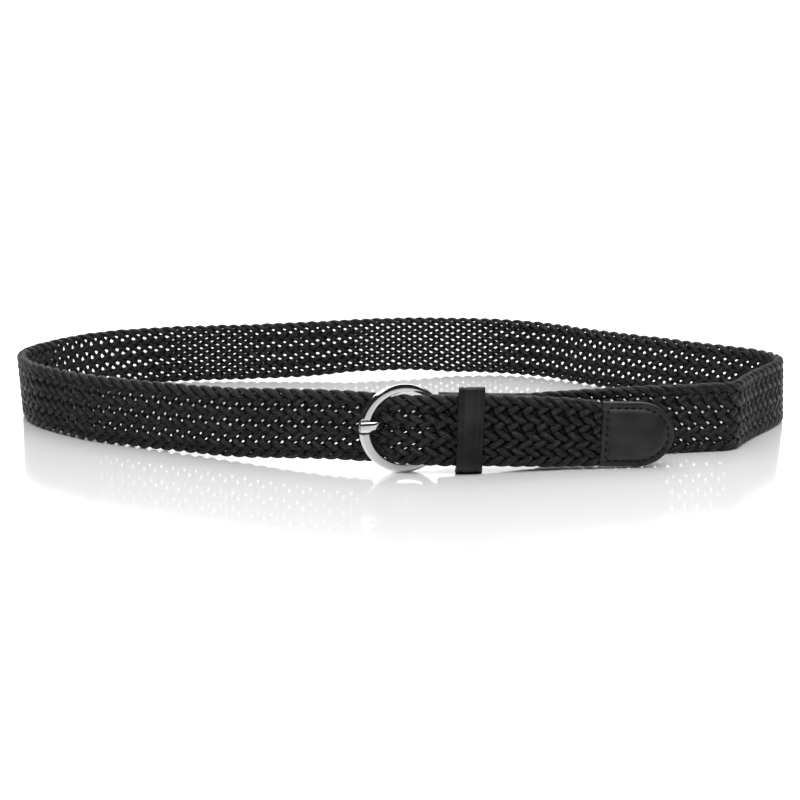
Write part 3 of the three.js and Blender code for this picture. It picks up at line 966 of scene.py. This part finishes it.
def make_keeper(material):
    """A leather loop round both layers, with a pressed line along each edge."""
    half = KEEPER["width"] / 2
    wall = KEEPER["wall"]
    outer = [(inset - half, depth) for inset, depth in KEEPER_EDGE]
    outer += [(half - inset, depth) for inset, depth in reversed(KEEPER_EDGE)]
    inner = [(half - 0.05, wall - 0.25), (half - 0.3, wall), (0.3 - half, wall), (0.05 - half, wall - 0.25)]
    section = np.array(outer + inner)
    outline = between(keeper_outline(), 1.0)
    way = unit(np.roll(outline, -1, axis=0) - np.roll(outline, 1, axis=0))
    inwards = np.stack([-way[:, 1], way[:, 0]], -1)
    rings = []
    wobble = np.array([slow_noise(len(outline), *KEEPER_WOBBLE) for _ in range(2)])
    ragged = rng.uniform(0.0, KEEPER_RAGGED, len(section))
    for k, point in enumerate(outline):
        ring = point + section[:, 1:] * inwards[k]
        edge = smoothstep(np.abs(section[:, 0]), half - 1.2, half)
        side = np.where(section[:, 0] < 0, wobble[0, k], wobble[1, k])
        low = smoothstep(-point[1], KEEPER["height"] / 2 - 5, KEEPER["height"] / 2)
        flare = -KEEPER_FLARE * low * smoothstep(-point[0], 0, 6) * (section[:, 0] < -half + 3)
        top = smoothstep(point[1], KEEPER["height"] / 2 - 1.0, KEEPER["height"] / 2)
        ring[:, 1] += ragged * top * (section[:, 1] < wall / 2)
        rings.append(np.column_stack([section[:, 0] + side * edge + flare, ring]))
    rings = np.array(rings)
    w, d, h = rings[..., 0], rings[..., 1], rings[..., 2]
    local = np.stack([KEEPER["skew"] * d + KEEPER["slant"] * h + w, d], -1)
    c, s = math.cos(KEEPER["yaw"]), math.sin(KEEPER["yaw"])
    x = local[..., 0] * c - local[..., 1] * s + KEEPER["x"] + ORIGIN[0]
    y = local[..., 0] * s + local[..., 1] * c + KEEPER["y"] + ORIGIN[1]
    vertices = np.stack([x, y, h + KEEPER["height"] / 2], -1)
    faces = [tuple(reversed(face)) for face in tube_faces(*vertices.shape[:2], closed=True)]
    piece = mesh_piece("keeper_leather", vertices.reshape(-1, 3), faces, material, "leather")
    # Painted sheen: lighter vertical streaks on the upper front of the keeper, plus its darker tone.
    keeper_sheen_and_tone = sum(
        strength * np.exp(-(((w + half - place) / KEEPER_SHEEN_WIDTH) ** 2))
        for place, strength in KEEPER_PAINTED_SHEEN
    )
    keeper_sheen_and_tone = keeper_sheen_and_tone * smoothstep(h, -14, 4) * smoothstep(-d, 0, 4) + KEEPER_TONE
    painted_sheen_and_tone = piece.data.attributes.new("painted_sheen_and_tone", "FLOAT", "POINT")
    painted_sheen_and_tone.data.foreach_set("value", keeper_sheen_and_tone.astype(np.float32).ravel())
    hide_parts("keeper")


# The tip's own frame: x along it from the mouth, y through it, z up

TIP_SIDE = np.array([
    # inset from the edge, half thickness: a sewn border, a shallow groove and the pillow
    [0.0, 0.75], [0.12, 1.05], [0.4, 1.28], [0.9, 1.4], [1.5, 1.45], [2.1, 1.43], [2.4, 1.38],
    [2.7, 1.34], [3.0, 1.45], [3.4, 1.75], [4.1, 2.2], [5.2, 2.6], [7.0, 2.88], [9.5, 3.03],
    [14.4, 3.15],
])
TIP_MOUTH = np.array([
    # distance from the mouth, half thickness: the same over the strap that fills the tip
    [0.0, 1.6], [0.12, 1.85], [0.4, 2.0], [0.9, 2.05], [1.7, 2.05], [2.0, 2.02], [2.3, 1.98],
    [2.6, 2.0], [3.0, 2.12], [3.6, 2.5], [4.3, 2.85], [5.2, 3.05], [7.0, 3.13], [9.0, 3.15],
])
TIP_PLY = 0.7
TIP_CORE = 0.04  # the least room between the plies, from the middle to each
TIP_STEP = 0.4  # between the points of its mesh
TIP_FINE_STEP = 0.15  # and near the stitches
TIP_FINE_REACH = 3.6
STITCH = {
    "inset": 2.7,
    "mouth_inset": 2.3,
    "pitch": 3.2,
    "half_length": 0.95,
    "radius": 0.2,
    "sunk": 0.05,  # of its middle, above the floor of its pit
    "pit": 0.6,
    "pit_half": 0.36,
}


def place_tip(points):
    mouth = strap_frame(MOUTH_LENGTH)
    along = mouth["along"]
    angle = math.atan2(along[1], along[0])
    c, s = math.cos(angle), math.sin(angle)
    roll_c, roll_s = math.cos(TIP["roll"]), math.sin(TIP["roll"])
    roll = np.array([[roll_c, 0, -roll_s], [0, 1, 0], [roll_s, 0, roll_c]])
    yaw = np.array([[c, s, 0], [-s, c, 0], [0, 0, 1]])
    start = mouth["base"][:2] + along[:2] * TIP["gap"]
    return points @ roll @ yaw + np.array([*start, TIP["middle"]])


def tip_outline(inset, step=TIP_STEP):
    """The tip's outline from the upper corner of the mouth round the end to the lower one."""
    half = TIP["width"] / 2 - inset
    reach = TIP["length"] - TIP["flat"] - inset
    straight = np.concatenate([
        np.arange(0, TIP_FINE_REACH, TIP_FINE_STEP), np.arange(TIP_FINE_REACH, TIP["flat"], step),
    ])
    arc = np.linspace(np.pi / 2, -np.pi / 2, round(np.pi * TIP["width"] / 2 / step))
    upper = np.column_stack([straight, np.full(len(straight), half)])
    bend = np.column_stack([TIP["flat"] + reach * np.cos(arc), half * np.sin(arc)])
    lower = upper[::-1] * (1, -1)
    return np.vstack([upper, bend, lower])


def tip_face(places, inset, stitches):
    """Half the thickness of the tip at places on its face, with a pit for each stitch."""
    side = np.interp(inset, TIP_SIDE[:, 0], TIP_SIDE[:, 1])
    mouth = np.interp(places[..., 0], TIP_MOUTH[:, 0], TIP_MOUTH[:, 1])
    pit = np.zeros(places.shape[:-1])
    for middle, way in stitches:
        offset = places - middle
        lengthwise = offset @ way / STITCH["half_length"]
        sidewise = offset @ np.array([-way[1], way[0]]) / STITCH["pit_half"]
        pit = np.maximum(pit, np.exp(-(lengthwise**4) - sidewise**2))
    return np.minimum(side, mouth) - STITCH["pit"] * pit


def make_tip(material, thread):
    insets = np.unique(np.concatenate([
        TIP_SIDE[:, 0],
        np.arange(STITCH["inset"] - 0.6, TIP_FINE_REACH, TIP_FINE_STEP),
        np.arange(TIP_FINE_REACH, TIP_SIDE[-1, 0], TIP_STEP),
    ]).round(3))
    grid = np.array([tip_outline(inset) for inset in insets]).transpose(1, 0, 2)
    inset_grid = np.broadcast_to(insets, grid.shape[:2])
    stitches = stitch_places()
    half = tip_face(grid, inset_grid, stitches)
    inside = np.maximum(half - TIP_PLY, TIP_CORE)
    for name, side in (("tip_front", -1), ("tip_back", 1)):
        outer = np.stack([grid[..., 0], side * half, grid[..., 1]], -1)
        inner = np.stack([grid[..., 0], side * inside, grid[..., 1]], -1)
        vertices, faces = ply_between(outer, inner, side)
        piece = mesh_piece(name, place_tip(vertices), faces, material, "leather")
        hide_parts("strap_tip")
    make_stitches(thread, stitches)


def ply_between(outer, inner, side):
    """A closed ply of the tip: its two faces, each with a bridge over the middle, and its edge."""
    rows, columns = outer.shape[:2]
    vertices = np.vstack([outer.reshape(-1, 3), inner.reshape(-1, 3)])
    far = rows * columns
    faces = []
    for i in range(rows - 1):
        for j in range(columns - 1):
            a = i * columns + j
            cell = (a, a + 1, a + columns + 1, a + columns)
            faces.append(cell)
            faces.append(tuple(far + v for v in reversed(cell)))
    last = columns - 1
    # The two halves of the face meet along the middle line, bridged from upper to lower.
    for i in range(rows // 2 - 1):
        p, q = i * columns + last, (i + 1) * columns + last
        r, s = (rows - 2 - i) * columns + last, (rows - 1 - i) * columns + last
        bridge = (p, s, r, q) if q != r else (p, s, q)
        faces.append(bridge)
        faces.append(tuple(far + v for v in reversed(bridge)))
    # The outer edge, and the mouth.
    for i in range(rows - 1):
        p, q = i * columns, (i + 1) * columns
        faces.append((p, q, far + q, far + p))
    mouth_line = list(range(columns)) + [(rows - 1) * columns + j for j in reversed(range(columns))]
    for p, q in zip(mouth_line[:-1], mouth_line[1:]):
        faces.append((q, p, far + p, far + q))
    if side > 0:
        faces = [tuple(reversed(face)) for face in faces]
    return vertices, faces


def stitch_places():
    """Middle and direction of each stitch: round the edge of the tip and along its mouth."""
    mouth_x = STITCH["mouth_inset"]
    outline = tip_outline(STITCH["inset"], 0.2)
    outline = outline[outline[:, 0] >= mouth_x]
    mouth = np.array([(mouth_x, outline[-1, 1]), (mouth_x, outline[0, 1])])
    places = []
    for line in (outline, mouth):
        travel = np.concatenate([[0], np.cumsum(np.linalg.norm(np.diff(line, axis=0), axis=1))])
        count = round(travel[-1] / STITCH["pitch"])
        for k in range(count):
            at = (k + 0.5) * travel[-1] / count
            here, ahead = (
                np.array([np.interp(t, travel, line[:, c]) for c in (0, 1)]) for t in (at, at + 0.3)
            )
            places.append((here, unit(ahead - here)))
    return places


def make_stitches(material, stitches):
    """One short thread in the pit of each stitch, sunk at both ends."""
    around = 10
    shares = np.linspace(-1, 1, 9)
    angle = 2 * np.pi * np.arange(around) / around
    vertices = []
    faces = []
    for middle, way in stitches:
        at_mouth = middle[0] < STITCH["mouth_inset"] + 0.01
        floor = tip_face(middle[None], TIP_SIDE[-1, 0] if at_mouth else STITCH["inset"], stitches)[0]
        across = np.array([-way[1], way[0]])
        for side in (-1, 1):
            faces += tube_faces(len(shares), around, first=len(vertices) * around)
            for share in shares:
                radius = STITCH["radius"] * math.sqrt(max(1 - share**4, 0.03))
                place = middle + way * share * STITCH["half_length"]
                depth = floor + STITCH["sunk"] - 0.25 * share**4
                ring = np.column_stack([
                    place[0] + across[0] * radius * np.cos(angle),
                    side * (depth + radius * np.sin(angle)),
                    place[1] + across[1] * radius * np.cos(angle),
                ])
                vertices.append(ring if side < 0 else ring[::-1])
    mesh_piece("tip_stitches", place_tip(np.vstack(vertices)), faces, material, "leather")


# Studio

def make_floor():
    """A wide white board that the belt stands on."""
    lines = np.linspace(-FLOOR_REACH, FLOOR_REACH, FLOOR_CELLS + 1)
    vertices = [(x, y, 0) for y in lines for x in lines]
    faces = []
    for j in range(FLOOR_CELLS):
        for i in range(FLOOR_CELLS):
            near = j * len(lines) + i
            far = near + len(lines)
            faces.append((near, near + 1, far + 1, far))
    floor = mesh_piece("floor", vertices, faces, floor_material(), None)


def make_world():
    """Bright overhead and low behind the belt, dark low in front of it."""
    world = bpy.data.worlds.new("studio")
    bpy.context.scene.world = world
    world.use_nodes = True
    tree = world.node_tree
    background = tree.nodes["Background"]
    background.inputs["Color"].default_value = (1, 1, 1, 1)
    split = tree.nodes.new("ShaderNodeSeparateXYZ")
    tree.links.new(tree.nodes.new("ShaderNodeTexCoord").outputs["Generated"], split.inputs["Vector"])

    def rise(axis, start, end, low, high):
        node = tree.nodes.new("ShaderNodeMapRange")
        node.interpolation_type = "SMOOTHSTEP"
        tree.links.new(split.outputs[axis], node.inputs["Value"])
        for name, value in zip(("From Min", "From Max", "To Min", "To Max"), (start, end, low, high)):
            node.inputs[name].default_value = value
        return node

    low_sky = rise("Y", *BACK_SKY_RISE, FRONT_SKY, BACK_SKY)
    sky = rise("Z", *TOP_SKY_RISE, 0, TOP_SKY)
    tree.links.new(low_sky.outputs["Result"], sky.inputs["To Min"])
    tree.links.new(sky.outputs["Result"], background.inputs["Strength"])


def area_light(name, place, target, width, height, watts):
    light = bpy.data.lights.new(name, "AREA")
    light.shape = "RECTANGLE"
    light.size = width * MM
    light.size_y = height * MM
    light.energy = watts
    lamp = bpy.data.objects.new(name, light)
    way = np.array(target, float) - np.array(place, float)
    lamp.location = np.array(place) * MM
    pitch = math.atan2(math.hypot(way[0], way[1]), -way[2])
    lamp.rotation_euler = (pitch, 0, math.atan2(way[1], way[0]) - math.pi / 2)
    bpy.context.scene.collection.objects.link(lamp)


def make_camera():
    camera = bpy.data.cameras.new("camera")
    camera.lens = CAMERA_LENS
    camera.sensor_width = CAMERA_SENSOR
    camera.clip_end = 100
    holder = bpy.data.objects.new("camera", camera)
    holder.location = [v * MM for v in CAMERA_PLACE]
    holder.rotation_euler = (math.pi / 2 - CAMERA_PITCH, 0, 0)
    bpy.context.scene.collection.objects.link(holder)
    bpy.context.scene.camera = holder


make_camera()
leather = leather_material()
metal = metal_material()
make_braid(cord_material())
make_tab(leather)
make_ring(metal)
make_prong(metal)
make_keeper(leather)
make_tip(leather, thread_material())
make_floor()
make_world()
area_light("softbox", **SOFTBOX)
bpy.context.scene.view_settings.view_transform = "Standard"
